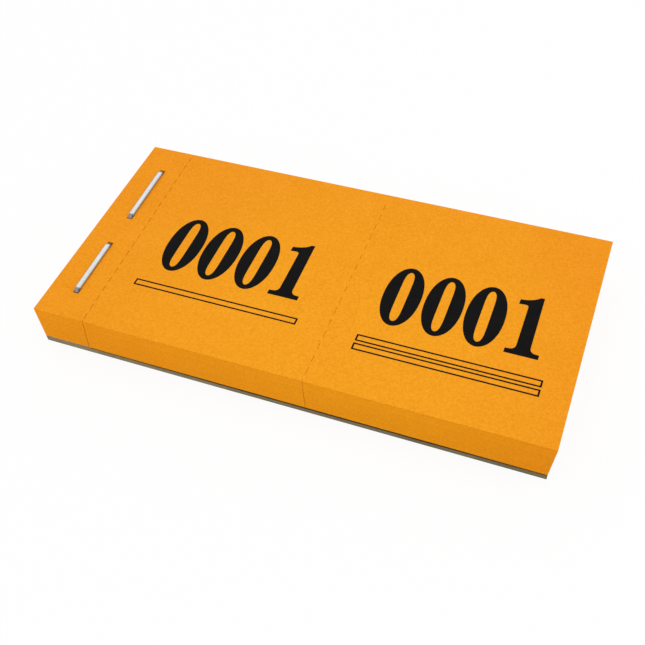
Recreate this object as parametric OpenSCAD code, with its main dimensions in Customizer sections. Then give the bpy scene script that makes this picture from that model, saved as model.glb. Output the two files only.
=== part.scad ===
// Numbered ticket book: a hundred double tickets on a greyboard back, held by two flat wire staples.
// The origin is the middle of the board's underside. +X runs from the spine to the free end,
// +Y from the front edge to the rear edge, and +Z up through the block.

/* [Book] */
// Length of a leaf, from the spine to the free end
leaf_length = 105; // [100:1:120]
// Width of a leaf, along the spine
leaf_width = 53; // [50:1:60]
// Thickness of the paper
leaf_thick = 0.073; // [0.065:0.001:0.1]
// Air between two leaves that lie on each other
leaf_gap = 0.01; // [0.01:0.002:0.02]
// Thickness of the greyboard
board_thick = 1.45; // [1.2:0.05:2]
// Height of the gap that stands open under the block beyond the stub
gap_height = 0.4; // [0.1:0.05:0.5]
// Depth of that gap, measured from the free edges of the board
gap_depth = 1; // [0.5:0.1:2]
// How much shorter than the top leaf the board is, as the knife leaned at the free end
trim_lean = 0.6; // [0:0.1:1]

/* [Tickets] */
// Length of the stub that stays under the staples
stub_length = 10.6; // [10:0.1:14]
// Length of the inner ticket
inner_length = 47.2; // [40:0.1:50]

/* [Perforations] */
// Distance from slit to slit on the line beside the stub
stub_pitch = 2.61; // [2:0.01:4]
// Distance from slit to slit on the line between the tickets
fold_pitch = 3.09; // [2:0.01:4]
// Part of the pitch that is cut through, the rest being the paper tie
cut_share = 0.55; // [0.4:0.01:0.7]
// Width of a slit beside the stub
stub_slit = 0.13; // [0.06:0.01:0.2]
// Width of a slit between the tickets
fold_slit = 0.08; // [0.06:0.01:0.2]
// Paper left between the front edge and the first slit beside the stub
stub_edge_tie = 0.8; // [0.6:0.05:2]
// Paper left between the front edge and the first slit between the tickets
fold_edge_tie = 1.75; // [0.6:0.05:2]
// How far the line beside the stub runs out of square, over the width of the leaf
stub_skew = 1.25; // [0:0.05:1.5]
// How far the line between the tickets runs out of square, over the width of the leaf
fold_skew = 0.45; // [0:0.05:1.5]
// How far the line beside the stub wanders towards the spine, down to the lowest leaf
stub_drift = 0.9; // [0:0.1:1.2]
// Depth of the nick that the cutting rule leaves in the edge of the leaf
nick_depth = 0.35; // [0.2:0.05:0.5]

/* [Staples] */
// Length of the front crown, measured over the bends
front_crown = 15.2; // [13:0.1:17]
// Length of the rear crown, measured over the bends
rear_crown = 16.6; // [13:0.1:17]
// Width of the flat wire
wire_width = 1.24; // [0.8:0.02:1.3]
// Thickness of the flat wire
wire_thick = 0.5; // [0.5:0.02:0.6]
// Rounding of the wire's long edges
wire_round = 0.24; // [0.1:0.01:0.24]
// Inner radius of the bends
bend_radius = 1; // [0.3:0.05:1.1]
// Length of a clinched leg, measured from its bend
clinch_length = 4.3; // [3:0.1:4.5]
// Distance from the spine to the middle of the wire
staple_inset = 5.85; // [4.5:0.05:7]
// Distance from the front edge to the middle of the front staple
front_staple_place = 14; // [11:0.05:16]
// Distance from the front edge to the middle of the rear staple
rear_staple_place = 37.6; // [34:0.05:40]
// Turn of each staple out of the spine's direction, in degrees
staple_turn = 0.9; // [0:0.1:2]
// Room around the wire in the holes and grooves
wire_clearance = 0.03; // [0.02:0.01:0.1]

/* [Hidden] */
leaf_count = 100;
loose_count = 10;
bundle_size = 10;
corner_steps = 6;
least_tie = 0.6;
staple_facets = 64;

leaf_pitch = leaf_thick + leaf_gap;
block_top = board_thick + leaf_count * leaf_pitch;
spine_x = -leaf_length / 2;
free_x = leaf_length / 2;
front_y = -leaf_width / 2;
rear_y = leaf_width / 2;

// Each perforation as its place halfway along the leaf's width, its skew and the width of its slits
stub_line = [spine_x + stub_length, stub_skew, stub_slit];
fold_line = [stub_line[0] + inner_length, fold_skew, fold_slit];

crown_floor = block_top + leaf_gap;
clinch_floor = wire_clearance;
clinch_top = clinch_floor + wire_thick;
bend_middle = bend_radius + wire_thick / 2;
staple_x = spine_x + staple_inset;

// Each staple as its place along the spine and the length of its crown
staple_ahead = [front_y + front_staple_place, front_crown];
staple_behind = [front_y + rear_staple_place, rear_crown];
both_staples = [staple_ahead, staple_behind];

paper_orange = [0.95, 0.61, 0.13];
board_grey = [0.47, 0.45, 0.37];
wire_silver = [0.82, 0.82, 0.84];

function serial(number) = str(number < 10 ? "000" : number < 100 ? "00" : "0", number);
function bundle_name(first) = str("leaves_", serial(first), "_", serial(first + bundle_size - 1));

bundle_firsts = [for (first = [loose_count + 1 : bundle_size : leaf_count]) first];

// Underside and free edge of a leaf, counted from the top of the block
function leaf_floor(number) = block_top - (number - 1) * leaf_pitch - leaf_thick;
function leaf_end(number) = free_x - trim_lean * (number - 1) / leaf_count;

// Slits of a perforation, as pairs of start and end, as many as leave a tie at the rear edge
function slit_count(pitch, edge_tie) =
    floor((leaf_width - edge_tie - least_tie - cut_share * pitch) / pitch) + 1;
function slits(pitch, edge_tie) = [
    for (i = [0 : slit_count(pitch, edge_tie) - 1])
        let (start = front_y + edge_tie + i * pitch)
        [start, start + cut_share * pitch]
];

// Every cut of a perforation, with the nicks in the front and rear edges
function cuts(pitch, edge_tie) = concat(
    [[front_y, front_y + nick_depth]],
    slits(pitch, edge_tie),
    [[rear_y - nick_depth, rear_y]]
);
stub_cuts = cuts(stub_pitch, stub_edge_tie);
fold_cuts = cuts(fold_pitch, fold_edge_tie);

// A point of a perforation: on its line at side 0, and on the edge of a slit at side 1 or -1
function on_line(line, y, side) = [line[0] - line[1] * y / leaf_width + side * line[2] / 2, y];

// One side of a perforation from front to rear: the ties reach the line, and the cuts stand back from it
function torn_edge(line, every_cut, side) = [
    for (cut = every_cut)
        each [
            on_line(line, cut[0], 0),
            on_line(line, cut[0], side),
            on_line(line, cut[1], side),
            on_line(line, cut[1], 0)
        ]
];

// The same edge without the two points that the nicks would put outside the leaf's corners
function tie_edge(line, every_cut, side) =
    let (points = torn_edge(line, every_cut, side))
    [for (i = [1 : len(points) - 2]) points[i]];

function reversed(points) = [for (i = [len(points) - 1 : -1 : 0]) points[i]];

// Flat outline of a leaf's stub, its inner ticket and its outer ticket
module stub_outline() {
    difference() {
        polygon(concat([[spine_x, front_y]], tie_edge(stub_line, stub_cuts, -1), [[spine_x, rear_y]]));
        leg_holes();
    }
}

module inner_outline() {
    polygon(concat(
        tie_edge(fold_line, fold_cuts, -1),
        reversed(tie_edge(stub_line, stub_cuts, 1))
    ));
}

module outer_outline(number) {
    polygon(concat(
        [[leaf_end(number), front_y], [leaf_end(number), rear_y]],
        reversed(tie_edge(fold_line, fold_cuts, 1))
    ));
}

// Flat outline of a bound leaf in one piece: only the uppermost of them shows its slits
module leaf_outline(number) {
    first_bound = loose_count + 1;
    open_slits = number == first_bound;
    drift = stub_drift * (number - first_bound) / (leaf_count - first_bound);
    difference() {
        translate([spine_x, front_y])
            square([leaf_end(number) - spine_x, leaf_width]);
        leg_holes();
        translate([-drift, 0])
            perforation(stub_line, stub_cuts, open_slits);
        perforation(fold_line, fold_cuts, open_slits);
    }
}

module perforation(line, every_cut, open_slits) {
    last = len(every_cut) - 1;
    for (i = open_slits ? [0 : last] : [0 : last : last])
        polygon([
            on_line(line, every_cut[i][0], -1),
            on_line(line, every_cut[i][0], 1),
            on_line(line, every_cut[i][1], 1),
            on_line(line, every_cut[i][1], -1)
        ]);
}

// The four holes that the staple legs pass through, with room for the inside of the bends
module leg_holes() {
    hole_width = wire_width + 2 * wire_clearance;
    hole_length = wire_thick + bend_radius + 2 * wire_clearance;
    for (staple = both_staples)
        translate([staple_x, staple[0]])
            rotate(staple_turn)
                for (end = [-1, 1])
                    translate([0, end * (staple[1] - wire_thick - bend_radius) / 2])
                        square([hole_width, hole_length], center = true);
}

module sheet(number) {
    translate([0, 0, leaf_floor(number)])
        linear_extrude(leaf_thick)
            children();
}

module stub(number) {
    color(paper_orange)
        sheet(number)
            stub_outline();
}

module inner_ticket(number) {
    color(paper_orange)
        sheet(number)
            inner_outline();
}

module outer_ticket(number) {
    color(paper_orange)
        sheet(number)
            outer_outline(number);
}

// Ten leaves that stay bound while the loose ones above them are turned
module leaf_bundle(first) {
    color(paper_orange)
        for (number = [first : first + bundle_size - 1])
            sheet(number)
                leaf_outline(number);
}

// Greyboard sheet: the block lies tight on it at the stub and stands a little off its other edges
module board_blank() {
    board_length = leaf_length - trim_lean;
    translate([spine_x, front_y, 0]) {
        cube([board_length, leaf_width, board_thick - gap_height]);
        cube([stub_length, leaf_width, board_thick]);
        translate([0, gap_depth, 0])
            cube([board_length - gap_depth, leaf_width - 2 * gap_depth, board_thick]);
    }
}

// Grooves that the clinched legs press into the underside of the board
module clinch_grooves() {
    groove_width = wire_width + 2 * wire_clearance;
    groove_depth = clinch_top + wire_clearance;
    groove_length = clinch_length + bend_radius + wire_thick + 2 * wire_clearance;
    for (staple = both_staples)
        translate([staple_x, staple[0], 0])
            rotate([0, 0, staple_turn])
                for (end = [-1, 1])
                    translate([0, end * (staple[1] / 2 + wire_clearance - groove_length / 2), 0])
                        cube([groove_width, groove_length, 2 * groove_depth], center = true);
}

module backing_board() {
    color(board_grey)
        difference() {
            board_blank();
            linear_extrude(board_thick)
                leg_holes();
            clinch_grooves();
        }
}

// Section of the flat wire, thickness along x and width along y, with its long edges rounded
module wire_section() {
    corners = [[1, 1, 0], [-1, 1, 90], [-1, -1, 180], [1, -1, 270]];
    polygon([
        for (corner = corners)
            for (step = [0 : corner_steps])
                let (turn = corner[2] + 90 * step / corner_steps)
                [
                    corner[0] * (wire_thick / 2 - wire_round) + wire_round * cos(turn),
                    corner[1] * (wire_width / 2 - wire_round) + wire_round * sin(turn)
                ]
    ]);
}

// A straight run of wire along the crown's direction
module level_run(length, height) {
    rotate([90, 0, 90])
        linear_extrude(length)
            translate([height, 0])
                wire_section();
}

// A quarter turn of wire from the crown's direction to the leg's
module bend(place, height, turn) {
    translate([place, height, 0])
        rotate([0, 0, turn])
            rotate_extrude(angle = 90, $fn = staple_facets)
                translate([bend_middle, 0])
                    wire_section();
}

// Half a staple in its own plane: x along the spine, y up, and the wire's width along z
module half_staple(crown) {
    leg_middle = (crown - wire_thick) / 2;
    bend_place = leg_middle - bend_middle;
    upper_bend = crown_floor - bend_radius;
    lower_bend = clinch_top + bend_radius;
    level_run(bend_place, crown_floor + wire_thick / 2);
    bend(bend_place, upper_bend, 0);
    translate([leg_middle, lower_bend, 0])
        rotate([-90, 0, 0])
            linear_extrude(upper_bend - lower_bend)
                wire_section();
    bend(bend_place, lower_bend, -90);
    translate([bend_place - clinch_length, 0, 0])
        level_run(clinch_length, clinch_floor + wire_thick / 2);
}

module staple(place, crown) {
    color(wire_silver)
        translate([staple_x, place, 0])
            rotate([90, 0, 90 + staple_turn]) {
                half_staple(crown);
                mirror([1, 0, 0])
                    half_staple(crown);
            }
}

module staple_front() {
    staple(staple_ahead[0], staple_ahead[1]);
}

module staple_rear() {
    staple(staple_behind[0], staple_behind[1]);
}

backing_board();
staple_front();
staple_rear();
for (number = [1 : loose_count]) {
    stub(number);
    inner_ticket(number);
    outer_ticket(number);
}
for (first = bundle_firsts)
    leaf_bundle(first);
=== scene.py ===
import math

import bpy
from mathutils import Matrix, Vector, geometry


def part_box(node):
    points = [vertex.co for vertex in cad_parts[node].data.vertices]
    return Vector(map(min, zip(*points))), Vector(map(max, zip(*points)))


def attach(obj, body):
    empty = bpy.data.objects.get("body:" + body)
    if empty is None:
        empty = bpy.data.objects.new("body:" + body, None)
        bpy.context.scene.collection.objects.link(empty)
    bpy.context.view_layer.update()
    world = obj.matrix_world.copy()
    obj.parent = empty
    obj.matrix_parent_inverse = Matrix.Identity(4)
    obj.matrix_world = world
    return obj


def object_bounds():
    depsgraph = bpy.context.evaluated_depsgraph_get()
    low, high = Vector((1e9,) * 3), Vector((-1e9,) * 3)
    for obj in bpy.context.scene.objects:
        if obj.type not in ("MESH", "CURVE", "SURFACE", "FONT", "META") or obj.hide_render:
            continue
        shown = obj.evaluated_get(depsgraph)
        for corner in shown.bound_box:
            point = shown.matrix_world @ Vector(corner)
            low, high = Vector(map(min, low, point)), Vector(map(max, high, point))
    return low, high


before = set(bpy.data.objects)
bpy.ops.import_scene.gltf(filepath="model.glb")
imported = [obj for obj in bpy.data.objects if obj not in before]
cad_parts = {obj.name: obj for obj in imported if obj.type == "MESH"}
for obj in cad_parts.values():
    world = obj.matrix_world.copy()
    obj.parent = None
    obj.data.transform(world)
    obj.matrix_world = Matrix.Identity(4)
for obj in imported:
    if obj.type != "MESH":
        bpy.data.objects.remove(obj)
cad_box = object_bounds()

# The backing board is greyboard, pulped and pressed from waste paper, with flecked faces and layered
# edges. It is trimmed with the block and stapled under it. Its upper face shows only in the gap under
# the leaves, and is painted darker and warmer there as painted shade, with less of it at both ends than
# in the middle. The whole board is lighter at the spine end and darker towards the free end.
MM = 0.001
free_end = cad_box[1].x
board_colour = (0.252, 0.214, 0.128, 1)
board_pale = (0.308, 0.266, 0.168, 1)
board_pulp_size = 2.4 * MM
board_dark_fleck = (0.130, 0.110, 0.068, 1)
board_pale_fleck = (0.46, 0.42, 0.31, 1)
board_fleck_size = 0.55 * MM
# The noise where a fleck starts and where it is full, and its share of the colour at each
board_dark_fleck_shares = (0.40, 0.30, 0.0, 0.75)
board_pale_fleck_shares = (0.62, 0.74, 0.0, 0.6)
board_layer_size = (5 * MM, 5 * MM, 0.16 * MM)
board_layer_tones = (0.72, 1.12)
# Painted shade: where the upper face shows in the gap under the leaves, it is darkened and warmed, less at
# both ends
board_gap_shade_tint = (0.32, 0.27, 0.11)
board_gap_shade_span = (-43 * MM, -8 * MM)
board_gap_shade_tones = (3.8, 0.92)
board_gap_shade_lift_start = 34 * MM
board_gap_shade_lift_tone = 2.7
# The whole board is lighter at the spine end and darker towards the free end
board_length_span = (-45 * MM, 25 * MM)
board_length_tones = (1.14, 0.78)
board_roughness = (0.86, 0.97)
board_relief = 0.03 * MM
board_relief_strength = 0.5
board_gloss = 0.25
usual_noise = (0.3, 0.7)
least_face_rise = 0.5


def blank_finish(name):
    """A new material, its node tree and its surface shader."""
    finish = bpy.data.materials.new(name)
    finish.use_nodes = True
    tree = finish.node_tree
    return finish, tree, tree.nodes["Principled BSDF"]


def put(tree, kind, settings=None, inputs=None):
    """Adds a shader node, sets its choices, and fills or links its sockets."""
    node = tree.nodes.new(kind)
    for name, value in (settings or {}).items():
        setattr(node, name, value)
    for name, value in (inputs or {}).items():
        if isinstance(value, bpy.types.NodeSocket):
            tree.links.new(value, node.inputs[name])
        else:
            node.inputs[name].default_value = value
    return node


def mix_colours(tree, share, first, second):
    """Two colours mixed, all the first at share 0 and all the second at share 1."""
    share_socket, first_socket, second_socket, mixed_socket = 0, 6, 7, 2
    colours = {share_socket: share, first_socket: first, second_socket: second}
    return put(tree, "ShaderNodeMix", {"data_type": "RGBA"}, colours).outputs[mixed_socket]


def tinted(tree, colour, tint):
    """A colour multiplied by a tint, channel by channel."""
    return put(tree, "ShaderNodeVectorMath", {"operation": "MULTIPLY"}, {0: colour, 1: tint}).outputs[0]


def toned(tree, colour, tone):
    """A colour made lighter or darker by one factor."""
    return put(tree, "ShaderNodeVectorMath", {"operation": "SCALE"}, {0: colour, "Scale": tone}).outputs[0]


def sums(tree, operation, first, second=0.0):
    """One step of arithmetic on two values, or on the first alone."""
    return put(tree, "ShaderNodeMath", {"operation": operation}, {0: first, 1: second}).outputs[0]


def spread(tree, value, low, high, out_low=0.0, out_high=1.0):
    """Maps a value from one span to another, clamped at both ends."""
    spans = {"From Min": low, "From Max": high, "To Min": out_low, "To Max": out_high}
    return put(tree, "ShaderNodeMapRange", None, {"Value": value, **spans}).outputs[0]


def part_of(tree, vector, axis):
    """One coordinate of a place or of a direction."""
    return put(tree, "ShaderNodeSeparateXYZ", None, {0: vector}).outputs[axis]


def grain(tree, place, size, detail=2.0, roughness=0.5):
    """Noise in the piece's own space, with one size or three for a stretched grain."""
    sizes = size if isinstance(size, tuple) else (size, size, size)
    shrink = tuple(1 / length for length in sizes)
    scaled = put(tree, "ShaderNodeVectorMath", {"operation": "MULTIPLY"}, {0: place, 1: shrink}).outputs[0]
    noise = {"Vector": scaled, "Scale": 1.0, "Detail": detail, "Roughness": roughness}
    return put(tree, "ShaderNodeTexNoise", None, noise).outputs["Fac"]


def from_grain(tree, noise, low=0.0, high=1.0):
    """Turns the usual span of a grain's noise into a span of values."""
    return spread(tree, noise, *usual_noise, low, high)


def cut_edge(tree, normal):
    """1 on the trimmed edges of a sheet and 0 on its two faces, in the sheet's own space."""
    rise = sums(tree, "ABSOLUTE", part_of(tree, normal, "Z"))
    return sums(tree, "LESS_THAN", rise, least_face_rise)


def cover(tree, surface, colour, roughness, relief, depth, strength):
    """Links a colour, a roughness and a fine relief to the surface shader."""
    tree.links.new(colour, surface.inputs["Base Color"])
    tree.links.new(roughness, surface.inputs["Roughness"])
    bump = put(tree, "ShaderNodeBump", None, {"Strength": strength, "Distance": depth, "Height": relief})
    tree.links.new(bump.outputs[0], surface.inputs["Normal"])


def greyboard_finish():
    """Flecked pulp on the faces, layers at the edges, painted gap shade on the upper face, and a darkening
    towards the free end.
    """
    finish, tree, surface = blank_finish("pressed_greyboard")
    coordinates = put(tree, "ShaderNodeTexCoord").outputs
    place, normal = coordinates["Object"], coordinates["Normal"]
    on_edge = cut_edge(tree, normal)

    pulp = grain(tree, place, board_pulp_size, detail=4.0, roughness=0.65)
    fleck = grain(tree, place, board_fleck_size, detail=3.0, roughness=0.7)
    layers = grain(tree, place, board_layer_size, detail=3.0)
    tone = mix_colours(tree, from_grain(tree, pulp), board_colour, board_pale)
    tone = mix_colours(tree, spread(tree, fleck, *board_dark_fleck_shares), tone, board_dark_fleck)
    tone = mix_colours(tree, spread(tree, fleck, *board_pale_fleck_shares), tone, board_pale_fleck)
    layered = toned(tree, tone, from_grain(tree, layers, *board_layer_tones))
    tone = mix_colours(tree, on_edge, tone, layered)

    along = part_of(tree, place, "X")
    # Painted shade of the gap under the leaves, on the upper face only, with less of it at both ends
    gap_shade_tone = spread(tree, along, *board_gap_shade_span, *board_gap_shade_tones)
    gap_shade_lift = spread(tree, along, board_gap_shade_lift_start, free_end, 0.0, board_gap_shade_lift_tone)
    gap_shade_tone = sums(tree, "ADD", gap_shade_tone, gap_shade_lift)
    gap_shade = toned(tree, tinted(tree, tone, board_gap_shade_tint), gap_shade_tone)
    on_top = sums(tree, "GREATER_THAN", part_of(tree, normal, "Z"), least_face_rise)
    tone = mix_colours(tree, on_top, tone, gap_shade)
    tone = toned(tree, tone, spread(tree, along, *board_length_span, *board_length_tones))

    rough = from_grain(tree, pulp, *board_roughness)
    relief = sums(tree, "ADD", fleck, sums(tree, "MULTIPLY", layers, on_edge))
    cover(tree, surface, tone, rough, relief, board_relief, board_relief_strength)
    surface.inputs["Specular IOR Level"].default_value = board_gloss
    return finish


def dress(node_name, finish):
    """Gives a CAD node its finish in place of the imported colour."""
    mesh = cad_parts[node_name].data
    mesh.materials.clear()
    mesh.materials.append(finish)


dress("backing_board", greyboard_finish())


# The leaves are uncoated paper dyed orange in the pulp, a hundred sheets perforated and trimmed as one
# block. The trimmed edges show each sheet in its own shade and a redder tint, with painted light that
# brightens the edge faces towards the top, and they grow darker and redder towards the free end. The
# slit walls are painted brighter, as painted light inside the slits. Three margins have turned a
# little deeper in the air.
leaf_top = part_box("stub_0001")[1].z
board_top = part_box("backing_board")[1].z
spine_end, rear_side = cad_box[0].x, cad_box[1].y
leaf_count = 100
leaf_pitch = (leaf_top - board_top) / leaf_count
paper_shade = (0.795, 0.269, 0.0005, 1)
paper_pale = (0.995, 0.397, 0.0215, 1)
paper_fibre_size = 0.45 * MM
paper_fibre_shares = (0.25, 0.75, 0.0, 0.86)
paper_cloud_size = 7 * MM
paper_cloud_shares = (0.02, 0.12)
paper_middle_tint = (1.003, 1.035, 1.0)
paper_margin_tint = (0.972, 0.900, 0.95)
# The axis of each browned margin, where it starts, the edge that it runs to, and its share there
paper_margins = (("X", -12 * MM, spine_end, 0.8),
                 ("X", 32 * MM, free_end, 0.7),
                 ("Y", -2 * MM, rear_side, 0.6))
# The edge tints are partly the edges' own redder colour and partly painted light that brightens the edge
# faces
paper_spine_edge_tint_and_light = (1.100, 1.050, 0.40, 1)
paper_edge_tint_and_light = (1.063, 1.085, 0.39, 1)
paper_free_end_edge_tint_and_light = (1.030, 0.950, 0.28, 1)
paper_free_end_tint_start = 26 * MM
paper_leaf_tones = (0.94, 1.04)
paper_streak_size = (9 * MM, 9 * MM, 0.05 * MM)
paper_streak_tones = (0.96, 1.05)
# Painted light: the slit walls are brighter than the paper, to lift the shade inside the slits
paper_slit_wall_light = (1.0, 0.36, 0.003, 1)
trimmed_ends = 2 * MM
trimmed_sides = 0.3 * MM
paper_roughness = (0.82, 0.95)
paper_relief = 0.012 * MM
paper_relief_strength = 0.35
paper_gloss = 0.12


def browning(tree, place):
    """How far the paper has turned in the air, from 0 in the middle up to 1 at the margins."""
    turned = 0.0
    for axis, start, edge, share in paper_margins:
        turned = sums(tree, "ADD", turned, spread(tree, part_of(tree, place, axis), start, edge, 0.0, share))
    return turned


def edge_tint(tree, place):
    """The tint of the trimmed edges with their painted light, from the spine to the darker free end."""
    along = part_of(tree, place, "X")
    past_spine = spread(tree, along, spine_end, paper_free_end_tint_start)
    towards_free_end = spread(tree, along, paper_free_end_tint_start, free_end)
    tint = mix_colours(tree, past_spine, paper_spine_edge_tint_and_light, paper_edge_tint_and_light)
    return mix_colours(tree, towards_free_end, tint, paper_free_end_edge_tint_and_light)


def edge_tone(tree, place):
    """The shade of each leaf at the trimmed edges, with streaks along it."""
    above_board = sums(tree, "SUBTRACT", part_of(tree, place, "Z"), board_top)
    leaf_number = sums(tree, "FLOOR", sums(tree, "DIVIDE", above_board, leaf_pitch))
    chance = put(tree, "ShaderNodeTexWhiteNoise", {"noise_dimensions": "1D"}, {"W": leaf_number})
    leaf_tone = spread(tree, chance.outputs["Value"], 0.0, 1.0, *paper_leaf_tones)
    streak_tone = from_grain(tree, grain(tree, place, paper_streak_size), *paper_streak_tones)
    return sums(tree, "MULTIPLY", leaf_tone, streak_tone)


def inside_block(tree, place):
    """1 inside the block, where the only cuts are slits and leg holes, and 0 near its trimmed edges."""
    within = 1.0
    for axis, limit in (("X", free_end - trimmed_ends), ("Y", rear_side - trimmed_sides)):
        reach = sums(tree, "ABSOLUTE", part_of(tree, place, axis))
        within = sums(tree, "MULTIPLY", within, sums(tree, "LESS_THAN", reach, limit))
    return within


def paper_finish():
    """Fibres and clouds on the faces, a shade for each leaf at the edges, and slit walls lightened with
    painted light.
    """
    finish, tree, surface = blank_finish("orange_ticket_paper")
    coordinates = put(tree, "ShaderNodeTexCoord").outputs
    place = coordinates["Object"]
    on_edge = cut_edge(tree, coordinates["Normal"])

    fibre = grain(tree, place, paper_fibre_size, detail=3.0, roughness=0.65)
    fibre_share = spread(tree, fibre, *paper_fibre_shares)
    cloud_share = from_grain(tree, grain(tree, place, paper_cloud_size), *paper_cloud_shares)
    tone = mix_colours(tree, sums(tree, "ADD", fibre_share, cloud_share), paper_shade, paper_pale)
    # The trimmed edges take their redder tint and their painted light here
    edged = toned(tree, tinted(tree, tone, edge_tint(tree, place)), edge_tone(tree, place))
    middle = tinted(tree, tone, paper_middle_tint)
    margin = tinted(tree, tone, paper_margin_tint)
    tone = mix_colours(tree, browning(tree, place), middle, margin)
    tone = mix_colours(tree, on_edge, tone, edged)
    # Painted light on the slit walls, to lift the shade inside the slits
    in_slit = sums(tree, "MULTIPLY", on_edge, inside_block(tree, place))
    tone = mix_colours(tree, in_slit, tone, paper_slit_wall_light)

    rough = from_grain(tree, fibre, *paper_roughness)
    cover(tree, surface, tone, rough, fibre, paper_relief, paper_relief_strength)
    surface.inputs["Specular IOR Level"].default_value = paper_gloss
    return finish


ticket_paper = paper_finish()
paper_starts = ("stub_", "inner_ticket_", "outer_ticket_", "leaves_")
for node_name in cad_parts:
    if node_name.startswith(paper_starts):
        dress(node_name, ticket_paper)


# Each ticket is numbered by a letterpress numbering box in heavy condensed figures, over blank rule
# boxes to write on. The black ink lies on the paper as a thin film and soaks into it a little. The
# outlines of the print are drawn in millimetres.
loose_leaves = 10
spine_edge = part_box("stub_0001")[0].x / MM
front_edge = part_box("stub_0001")[0].y / MM
inner_left = spine_edge + 16.14
outer_left = spine_edge + 63.90
inner_rise = 0.065
outer_rise = 0.0
inner_wheel_play = (0.05, -0.07, -0.04, -0.06)
outer_wheel_play = (-0.03, 0.01, -0.07, -0.06)
box_length = 35.55
box_height = 1.685
box_line = 0.35
box_step = 2.19
box_first_floor = front_edge + 12.23
figure_base = front_edge + 18.21
figures_inset = 1.04
figure_step = 8.33
figure_middle = figure_step / 2
figure_height = 15.25
round_centre = 7.47
bowl_squareness = 0.95
hook_angle = 155
ball_radius = 1.45
slab = 1.1
curve_steps = 24
oval_sides = 72
weld_gap = 1e-5
ink_film = 0.004 * MM
ink_soak = 0.002 * MM
ink_black = (0.0024, 0.0024, 0.0025, 1)
ink_thin = (0.0042, 0.0041, 0.0040, 1)
ink_patch_size = 2.5 * MM
ink_speck = (0.036, 0.021, 0.010, 1)
ink_speck_size = 0.22 * MM
ink_speck_shares = (0.68, 0.8, 0.0, 0.35)
ink_roughness = (0.5, 0.72)
ink_relief = 0.006 * MM
ink_relief_strength = 0.25
ink_gloss = 0.06


def arc(centre, radii, start, end):
    """Points along part of an ellipse, with angles in degrees from the right, anticlockwise."""
    turns = [math.radians(start + (end - start) * i / curve_steps) for i in range(curve_steps + 1)]
    return [(centre[0] + radii[0] * math.cos(t), centre[1] + radii[1] * math.sin(t)) for t in turns]


def sweep(first, pull, last):
    """Points along a curve from first to last that bends towards pull."""
    shares = [i / curve_steps for i in range(curve_steps + 1)]
    return [tuple((1 - s) ** 2 * a + 2 * s * (1 - s) * b + s * s * c for a, b, c in zip(first, pull, last))
            for s in shares]


def oval(centre, radii, squareness):
    """A closed oval, a plain ellipse at squareness 1 and straight-sided towards 0."""
    turns = [2 * math.pi * (i + 0.5) / oval_sides for i in range(oval_sides)]
    rises = [math.copysign(abs(math.sin(t)) ** squareness, math.sin(t)) for t in turns]
    return [(centre[0] + radii[0] * math.cos(t), centre[1] + radii[1] * rise)
            for t, rise in zip(turns, rises)]


def crescent(outer, inner, start, end):
    """A band between two arcs over the same angles, each given as its centre and radii."""
    return [tuple(arc(*outer, start, end) + arc(*inner, end, start))]


def ball_in(outer, angle):
    """The round end of a band, lying against the inside of its outer arc."""
    centre, radii = outer
    turn = math.radians(angle)
    outward = Vector((math.cos(turn) / radii[0], math.sin(turn) / radii[1])).normalized()
    rim = Vector((centre[0] + radii[0] * math.cos(turn), centre[1] + radii[1] * math.sin(turn)))
    middle = rim - ball_radius * outward
    return [tuple(oval(middle, (ball_radius, ball_radius), squareness=1.0))]


def ring(outside, inside):
    """A closed band between two outlines with the same number of points."""
    count = len(outside)
    return [(outside[i], outside[(i + 1) % count], inside[(i + 1) % count], inside[i]) for i in range(count)]


def bowl(centre, radii, eye_radii, eye_squareness):
    """A closed round bowl with an upright eye."""
    return ring(oval(centre, radii, bowl_squareness), oval(centre, eye_radii, eye_squareness))


def slab_foot(left, right, stem_left, stem_right, bracket):
    """A level slab under a stem, joined to it by a curved bracket on each side."""
    left_tip, right_tip = 0.84, 0.79
    tip_top, bend_top = slab + 0.05, slab + 0.15
    outline = [(left, 0), (right, 0), (right, slab)]
    outline += sweep((right - right_tip, tip_top), (stem_right, bend_top), (stem_right, bracket))
    outline += sweep((stem_left, bracket), (stem_left, bend_top), (left + left_tip, tip_top))
    return [tuple(outline + [(left, slab)])]


def nought():
    """An upright oval with a narrow, straight-sided eye."""
    outside = oval((figure_middle, round_centre), (3.79, 7.87), squareness=0.917)
    eye = oval((figure_middle - 0.01, round_centre - 0.01), (0.99, 6.635), squareness=0.32)
    return ring(outside, eye)


def one():
    """A stem with a flag at its head and a bracketed slab at its foot."""
    flag_left, foot_right = 1.14, 7.59
    stem_left, stem_right, bracket = 3.05, 5.75, 2.5
    stem = [(stem_left, slab), (stem_right, slab), (stem_right, bracket)]
    stem += [(5.6, figure_height), (4.95, figure_height)]
    stem += sweep((4.75, figure_height - 0.1), (3.7, 14.0), (flag_left + 0.05, 13.77))
    stem += [(flag_left, 12.55), (flag_left + 0.7, 12.6)]
    stem += sweep((2.45, 12.65), (stem_left, 12.65), (stem_left, 11.95))
    return [tuple(stem)] + slab_foot(flag_left, foot_right, stem_left, stem_right, bracket)


def two():
    """A hooked head with a ball, a neck that sweeps down to the left, and a level foot."""
    outer, inner = ((4.05, 11.25), (3.6, 4.1)), ((3.75, 11.25), (1.2, 2.95))
    neck = sweep((7.65, 11.25), (7.65, 7.7), (2.95, 2.5))
    neck += sweep((0.75, 1.35), (4.95, 7.0), (4.95, 11.25))
    foot = [(0.75, 0), (7.15, 0), (7.75, 4.35), (6.95, 4.35)]
    foot += sweep((6.95, 4.35), (6.6, 2.5), (5.2, 2.5))
    foot += [(2.95, 2.5), (0.75, 1.35)]
    return crescent(outer, inner, hook_angle, 0) + ball_in(outer, hook_angle) + [tuple(neck), tuple(foot)]


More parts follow.
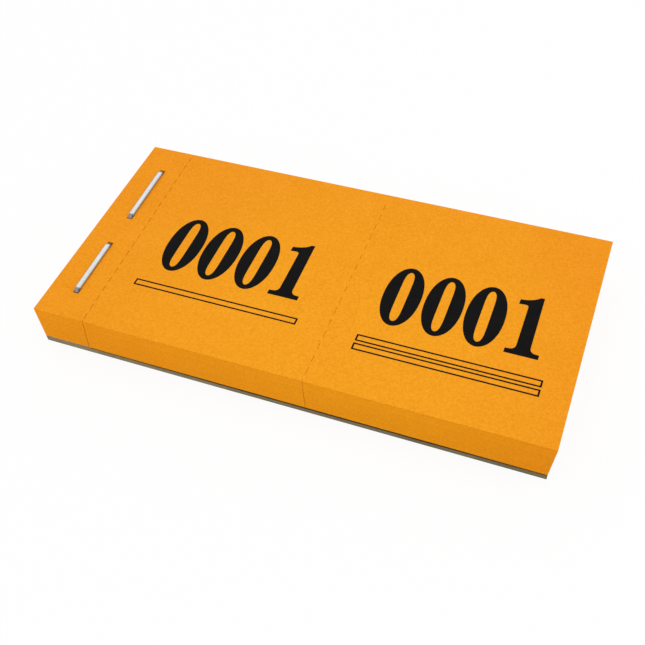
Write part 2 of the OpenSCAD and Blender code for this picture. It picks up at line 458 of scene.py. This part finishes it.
def three():
    """Two open bowls that meet at a waist, with a ball at each end."""
    upper, upper_eye = ((3.7, 11.4), (3.45, 3.95)), ((3.4, 11.4), (1.1, 2.8))
    lower, lower_eye = ((3.75, 3.95), (3.95, 4.4)), ((3.45, 3.95), (1.3, 3.2))
    waist = [(3.15, 7.15), (4.0, 7.15), (4.0, 8.6), (3.15, 8.6)]
    bowls = crescent(upper, upper_eye, hook_angle, -90) + crescent(lower, lower_eye, 90, -hook_angle)
    return bowls + [tuple(waist)] + ball_in(upper, hook_angle) + ball_in(lower, -hook_angle)


def four():
    """A slant and a thin bar against a stem, with a bracketed slab at its foot."""
    stem_left, stem_right, bracket = 4.2, 6.9, 2.3
    bar_left, bar_right = 0.35, 8.0
    bar_floor, bar_top, shoulder = 3.85, 4.95, 10.44
    slant = [(bar_left, bar_top), (4.95, figure_height), (stem_right, figure_height)]
    slant += [(stem_right, shoulder), (stem_left, shoulder), (1.75, bar_top)]
    stem = [(stem_left, slab), (stem_right, slab), (stem_right, shoulder), (stem_left, shoulder)]
    bar = [(bar_left, bar_floor), (bar_right, bar_floor), (bar_right, bar_top), (bar_left, bar_top)]
    return [tuple(slant), tuple(stem), tuple(bar)] + slab_foot(2.75, 8.1, stem_left, stem_right, bracket)


def five():
    """A level flag on a thin back, over an open bowl with a ball."""
    outer, inner = ((3.7, 4.7), (4.0, 5.1)), ((3.4, 4.7), (1.3, 3.9))
    flag = [(1.3, 12.75), (6.85, 12.75), (7.25, figure_height), (1.3, figure_height)]
    back = [(1.3, 7.25), (2.4, 7.25), (2.79, 8.14), (2.4, 9.2), (2.4, 13.0), (1.3, 13.0)]
    back_angle = 118
    bowl_band = crescent(outer, inner, back_angle, -hook_angle)
    return [tuple(flag), tuple(back)] + bowl_band + ball_in(outer, -hook_angle)


def six():
    """A closed bowl under a tall hook with a ball."""
    outer, inner = ((4.35, round_centre), (3.85, 7.87)), ((4.55, round_centre), (1.32, 6.65))
    back_angle, ball_angle = 200, 45
    closed = bowl((4.25, 4.75), (3.75, 5.15), (1.02, 3.95), eye_squareness=0.45)
    return closed + crescent(outer, inner, back_angle, ball_angle) + ball_in(outer, ball_angle)


def seven():
    """A level head with a hanging flag and a heavy stem that sweeps down to the left."""
    outline = [(0.75, figure_height), (7.7, figure_height)]
    outline += sweep((7.7, 13.75), (5.45, 8.6), (5.3, 0))
    outline += sweep((2.4, 0), (2.5, 7.4), (6.0, 12.75))
    outline += sweep((2.35, 12.75), (1.75, 12.4), (1.5, 10.7))
    return [tuple(outline + [(0.75, 10.7)])]


def eight():
    """Two closed bowls, the lower one larger."""
    upper = bowl((figure_middle, 11.4), (3.25, 3.95), (0.95, 2.75), eye_squareness=0.5)
    lower = bowl((figure_middle, 3.95), (3.8, 4.4), (1.15, 3.15), eye_squareness=0.5)
    return upper + lower


def nine():
    """A six turned upside down."""
    return [tuple((2 * figure_middle - x, 2 * round_centre - y) for x, y in patch) for patch in six()]


figures = (nought, one, two, three, four, five, six, seven, eight, nine)


def shifted(patches, x, y):
    """The same patches, moved to a place on the leaf."""
    return [tuple((point[0] + x, point[1] + y) for point in patch) for patch in patches]


def rule_box(left, floor):
    """A thin outlined box to write in."""
    right, top, line = left + box_length, floor + box_height, box_line
    outside = [(left, floor), (right, floor), (right, top), (left, top)]
    inside = [(left + line, floor + line), (right - line, floor + line)]
    inside += [(right - line, top - line), (left + line, top - line)]
    return ring(outside, inside)


def ticket_print(number, box_left, rise, wheel_play, boxes):
    """The flat patches of one ticket's number and rule boxes."""
    patches = []
    for place, digit in enumerate(f"{number:04d}"):
        left = box_left + figures_inset + place * figure_step + wheel_play[place]
        patches += shifted(figures[int(digit)](), left, figure_base + rise)
    for row in range(boxes):
        patches += rule_box(box_left, box_first_floor + rise - row * box_step)
    return patches


def leaf_print(number):
    """The patches of a leaf's inner ticket and of its outer ticket."""
    inner = ticket_print(number, inner_left, inner_rise, inner_wheel_play, boxes=1)
    outer = ticket_print(number, outer_left, outer_rise, outer_wheel_play, boxes=2)
    return inner, outer


def anticlockwise(patch):
    """The patch with its corners running anticlockwise, so that its inside is on the left."""
    doubled_area = sum(a[0] * b[1] - b[0] * a[1] for a, b in zip(patch, patch[1:] + patch[:1]))
    return patch if doubled_area > 0 else patch[::-1]


def ink_piece(name, patches, paper_top, finish):
    """Joins flat patches into one film of ink on a leaf, closed just under the paper's surface."""
    points, faces = [], []
    for patch in patches:
        faces.append(list(range(len(points), len(points) + len(patch))))
        points += [Vector(point) for point in anticlockwise(patch)]
    inside_only = 1
    joined = geometry.delaunay_2d_cdt(points, [], faces, inside_only, weld_gap)
    merged, triangles, origins = joined[0], joined[2], joined[5]
    inked = [tuple(triangle) for triangle, origin in zip(triangles, origins) if origin]

    count = len(merged)
    upper, lower = paper_top + ink_film, paper_top - ink_soak
    corners = [(p.x * MM, p.y * MM, height) for height in (upper, lower) for p in merged]
    edges = {(t[i], t[(i + 1) % 3]) for t in inked for i in range(3)}
    rim = [(a, b) for a, b in edges if (b, a) not in edges]
    skin = inked + [tuple(i + count for i in reversed(t)) for t in inked]
    skin += [(b, a, a + count, b + count) for a, b in rim]
    mesh = bpy.data.meshes.new(name)
    mesh.from_pydata(corners, [], skin)
    mesh.materials.append(finish)
    mesh.validate()
    piece = bpy.data.objects.new(name, mesh)
    bpy.context.collection.objects.link(piece)
    return piece


def ink_finish():
    """Matt black, a little thin in patches, with specks where the paper shows through."""
    finish, tree, surface = blank_finish("black_numbering_ink")
    place = put(tree, "ShaderNodeTexCoord").outputs["Object"]
    speck = grain(tree, place, ink_speck_size, detail=3.0, roughness=0.7)
    patch = grain(tree, place, ink_patch_size)
    tone = mix_colours(tree, from_grain(tree, patch), ink_black, ink_thin)
    tone = mix_colours(tree, spread(tree, speck, *ink_speck_shares), tone, ink_speck)
    rough = from_grain(tree, speck, *ink_roughness)
    cover(tree, surface, tone, rough, speck, ink_relief, ink_relief_strength)
    surface.inputs["Specular IOR Level"].default_value = ink_gloss
    return finish


numbering_ink = ink_finish()
inner_print, outer_print = leaf_print(1)
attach(ink_piece("print_inner_0001", inner_print, leaf_top, numbering_ink), "leaf_0001")
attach(ink_piece("print_outer_0001", outer_print, leaf_top, numbering_ink), "end_ticket_0001")
for number in range(2, loose_leaves + 2):
    inner_print, outer_print = leaf_print(number)
    paper_top = leaf_top - (number - 1) * leaf_pitch
    carrier = f"leaf_{number:04d}" if number <= loose_leaves else "book"
    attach(ink_piece(f"print_{number:04d}", inner_print + outer_print, paper_top, numbering_ink), carrier)


# The two staples are flat zinc-coated steel wire, cut from a reel, driven through stub, block and
# board by a stitching head and bent over underneath. The flat top keeps the bright zinc. The sides are
# duller and also darkened with painted shade, and the left rounded edge and the bends are painted
# darker as shade and dark reflections, with the right-facing parts of the bends nearly black.
wire_bright = (0.815, 0.815, 0.825, 1)
wire_dull = (0.72, 0.72, 0.73, 1)
# Painted shade and dark reflections: the sides, the bends and their right-facing corners are darker than the
# zinc top
wire_dull_and_shaded_side = (0.40, 0.41, 0.42, 1)
wire_bend_shade = (0.27, 0.275, 0.30, 1)
wire_bend_corner_shade = (0.05, 0.053, 0.06, 1)
wire_spangle_size = 0.9 * MM
wire_spangle_noise = (0.35, 0.65)
wire_line_size = (0.05 * MM, 5 * MM, 0.05 * MM)
wire_edge_radius = 0.3 * MM
wire_edge_samples = 8
# How far a surface rises, or leans along the book or across it, where the bright top and each painted shade
# start and are full
wire_flat_rise = (0.955, 0.999)
wire_left_edge_shade_lean = (-0.30, -0.03)
wire_bend_shade_lean = (0.1, 0.3)
wire_bend_corner_shade_lean = (0.02, 0.35)
wire_line_roughness = (0.2, 0.34)
wire_spangle_roughness = (0.1, 0.0)
wire_relief = 0.01 * MM
wire_relief_strength = 0.3


def wire_finish():
    """Spangled zinc on the flat top, with painted shade on the sides, left edge and bends, drawn into fine
    lines.
    """
    finish, tree, surface = blank_finish("zinc_coated_wire")
    coordinates = put(tree, "ShaderNodeTexCoord").outputs
    place, normal = coordinates["Object"], coordinates["Normal"]
    lines = grain(tree, place, wire_line_size)
    spangle = grain(tree, place, wire_spangle_size, detail=3.0, roughness=0.6)

    rounded = put(tree, "ShaderNodeBevel", {"samples": wire_edge_samples}, {"Radius": wire_edge_radius})
    to_own_space = {"vector_type": "NORMAL", "convert_from": "WORLD", "convert_to": "OBJECT"}
    rounded = put(tree, "ShaderNodeVectorTransform", to_own_space, {0: rounded.outputs[0]}).outputs[0]
    lean_along = part_of(tree, rounded, "X")
    lean_across = sums(tree, "ABSOLUTE", part_of(tree, normal, "Y"))
    rise = sums(tree, "ABSOLUTE", part_of(tree, normal, "Z"))
    # Painted light by facing: only the flat top away from the left edge keeps the zinc, and the rest is
    # painted darker
    flat = spread(tree, rise, *wire_flat_rise)
    lit_top = sums(tree, "MULTIPLY", flat, spread(tree, lean_along, *wire_left_edge_shade_lean))
    zinc = mix_colours(tree, spread(tree, spangle, *wire_spangle_noise), wire_dull, wire_bright)
    bend = mix_colours(tree, spread(tree, lean_along, *wire_bend_corner_shade_lean), wire_bend_shade, wire_bend_corner_shade)
    side = mix_colours(tree, spread(tree, lean_across, *wire_bend_shade_lean), wire_dull_and_shaded_side, bend)
    tone = mix_colours(tree, lit_top, side, zinc)

    line_roughness = from_grain(tree, lines, *wire_line_roughness)
    rough = sums(tree, "ADD", line_roughness, from_grain(tree, spangle, *wire_spangle_roughness))
    cover(tree, surface, tone, rough, lines, wire_relief, wire_relief_strength)
    surface.inputs["Metallic"].default_value = 1.0
    return finish


zinc_wire = wire_finish()
dress("staple_front", zinc_wire)
dress("staple_rear", zinc_wire)


# The book lies on a plain white table under a bright ceiling, with dimmer walls and one soft lamp.
# The table and the room are white to the eye, and the table still takes the shadow of the book.
white = (1, 1, 1, 1)
table_half = 3.0
table_colour = (0.96, 0.96, 0.96, 1)
table_roughness = 0.9
table_glow_share = 0.91
wall_light = 0.50
ceiling_light = 0.97
wall_top = 0.10
ceiling_rim = 0.70
lamp_power = 0.6
lamp_size = 0.5
lamp_place = Vector((0.22, 0.02, 0.60))


def seen(tree):
    """1 for rays that show a surface, straight or by metal or glass, and 0 for rays that light it."""
    path = put(tree, "ShaderNodeLightPath").outputs
    in_metal_or_glass = sums(tree, "MAXIMUM", path["Is Glossy Ray"], path["Is Transmission Ray"])
    return sums(tree, "MAXIMUM", path["Is Camera Ray"], in_metal_or_glass)


def table_finish():
    """A matt white that glows to the eye, with a share left to show the shadow."""
    finish, tree, surface = blank_finish("white_table")
    surface.inputs["Base Color"].default_value = table_colour
    surface.inputs["Roughness"].default_value = table_roughness
    glow = put(tree, "ShaderNodeEmission", None, {"Color": white, "Strength": 1.0})
    share = sums(tree, "MULTIPLY", seen(tree), table_glow_share)
    both = put(tree, "ShaderNodeMixShader", None, {0: share, 1: surface.outputs[0], 2: glow.outputs[0]})
    tree.links.new(both.outputs[0], tree.nodes["Material Output"].inputs["Surface"])
    return finish


table_signs = ((-1, -1), (1, -1), (1, 1), (-1, 1))
table_corners = [(table_half * x, table_half * y, 0) for x, y in table_signs]
table_mesh = bpy.data.meshes.new("table_top")
table_mesh.from_pydata(table_corners, [], [(0, 1, 2, 3)])
table_mesh.materials.append(table_finish())
table = bpy.data.objects.new("table_top", table_mesh)
bpy.context.collection.objects.link(table)

room = bpy.data.worlds.new("white_room")
room.use_nodes = True
room_tree = room.node_tree
room_glow = room_tree.nodes["Background"]
room_glow.inputs["Color"].default_value = white
direction = put(room_tree, "ShaderNodeTexCoord").outputs["Generated"]
room_spans = {"From Min": wall_top, "From Max": ceiling_rim, "To Min": wall_light, "To Max": ceiling_light}
room_light = put(room_tree, "ShaderNodeMapRange", {"interpolation_type": "SMOOTHSTEP"},
                 {"Value": part_of(room_tree, direction, "Z"), **room_spans}).outputs[0]
room_strength = spread(room_tree, seen(room_tree), 0.0, 1.0, room_light, 1.0)
room_tree.links.new(room_strength, room_glow.inputs["Strength"])
bpy.context.scene.world = room

lamp_data = bpy.data.lights.new("soft_lamp", "AREA")
lamp_data.size = lamp_size
lamp_data.energy = lamp_power
lamp = bpy.data.objects.new("soft_lamp", lamp_data)
lamp.location = lamp_place
lamp.rotation_euler = (-lamp_place).to_track_quat("-Z", "Y").to_euler()
bpy.context.collection.objects.link(lamp)


# The camera stands in front of the book and to its right, looks down on it, and leans a little.
# Its lens is shifted upwards, and its place and angles follow the lines of the book.
lens_place = Vector((0.05107, -0.11447, 0.13894))
lens_length = 49.5
lens_rise = 0.0893
sensor_width = 36.0
nearest_seen = 0.005
turned_left = math.radians(25.18)
tilted_down = math.radians(52.59)
leaned_right = math.radians(5.41)

camera_data = bpy.data.cameras.new("camera")
camera_data.sensor_width = sensor_width
camera_data.lens = lens_length
camera_data.shift_y = lens_rise
camera_data.clip_start = nearest_seen
camera = bpy.data.objects.new("camera", camera_data)
stance = Matrix.Rotation(turned_left, 4, "Z") @ Matrix.Rotation(math.pi / 2 - tilted_down, 4, "X")
stance = stance @ Matrix.Rotation(-leaned_right, 4, "Z")
camera.matrix_world = Matrix.Translation(lens_place) @ stance
bpy.context.collection.objects.link(camera)
bpy.context.scene.camera = camera
bpy.context.scene.view_settings.view_transform = "Standard"
